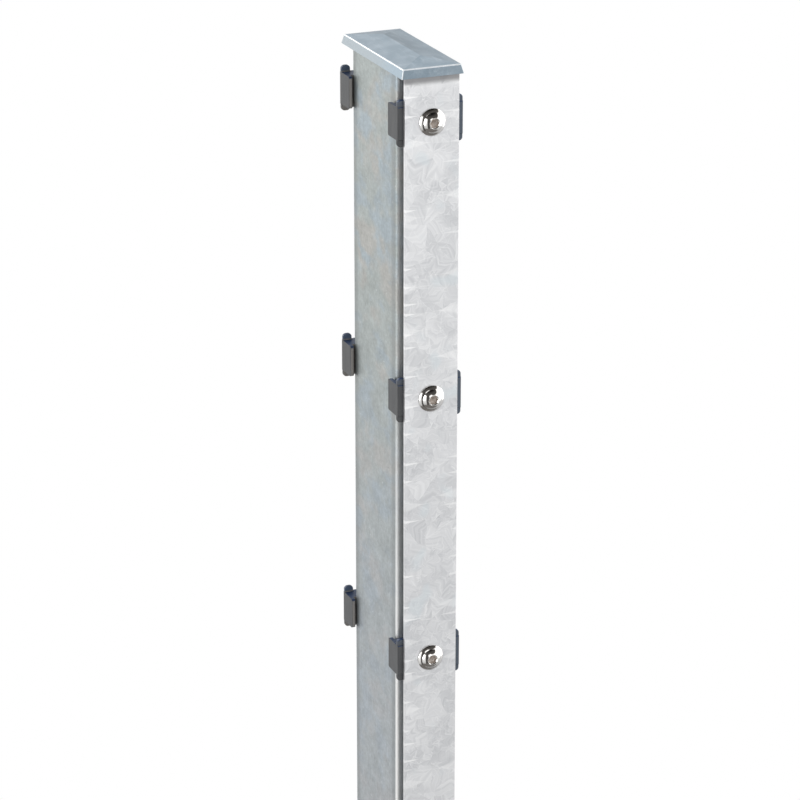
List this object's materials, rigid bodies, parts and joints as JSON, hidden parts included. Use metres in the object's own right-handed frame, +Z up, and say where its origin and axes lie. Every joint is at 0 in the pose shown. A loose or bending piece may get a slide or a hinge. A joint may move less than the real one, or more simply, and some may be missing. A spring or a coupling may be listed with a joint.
{
  "type": "metal fence post",
  "caption": "Upright rectangular steel post for welded mesh fencing, with a screwed cover strip, moulded wire holders front and back, and a low hipped cap.",
  "frame": {"origin": "centre of the tube's lower end, in the plane of its cut", "axes": "+Z up the post, -Y out of the front where the cover strip is, +X to the right seen from the front"},
  "size_m": [0.0484, 0.1186, 1.3064],
  "materials": {
    "galvanised_tube": "hot-dip galvanised, smooth and softly mottled",
    "spangled_strip": "hot-dip galvanised with large feathered spangle",
    "cast_cap": "cast, blue-grey, satin",
    "moulded_holder": "moulded dark slate grey plastic",
    "stainless_screw": "polished stainless steel",
    "plated_nut": "zinc plated"
  },
  "bodies": {
    "root": {"post_tube": "galvanised_tube", "post_cap": "cast_cap", "cover_strip": "spangled_strip", "holder_front_1": "moulded_holder", "screw_front_1": "stainless_screw", "rivet_nut_front_1": "plated_nut", "holder_rear_1": "moulded_holder", "screw_rear_1": "stainless_screw", "rivet_nut_rear_1": "plated_nut", "holder_front_2": "moulded_holder", "screw_front_2": "stainless_screw", "rivet_nut_front_2": "plated_nut", "holder_rear_2": "moulded_holder", "screw_rear_2": "stainless_screw", "rivet_nut_rear_2": "plated_nut", "holder_front_3": "moulded_holder", "screw_front_3": "stainless_screw", "rivet_nut_front_3": "plated_nut", "holder_rear_3": "moulded_holder", "screw_rear_3": "stainless_screw", "rivet_nut_rear_3": "plated_nut", "holder_front_4": "moulded_holder", "screw_front_4": "stainless_screw", "rivet_nut_front_4": "plated_nut", "holder_rear_4": "moulded_holder", "screw_rear_4": "stainless_screw", "rivet_nut_rear_4": "plated_nut", "holder_front_5": "moulded_holder", "screw_front_5": "stainless_screw", "rivet_nut_front_5": "plated_nut", "holder_rear_5": "moulded_holder", "screw_rear_5": "stainless_screw", "rivet_nut_rear_5": "plated_nut"}
  },
  "joints": []
}
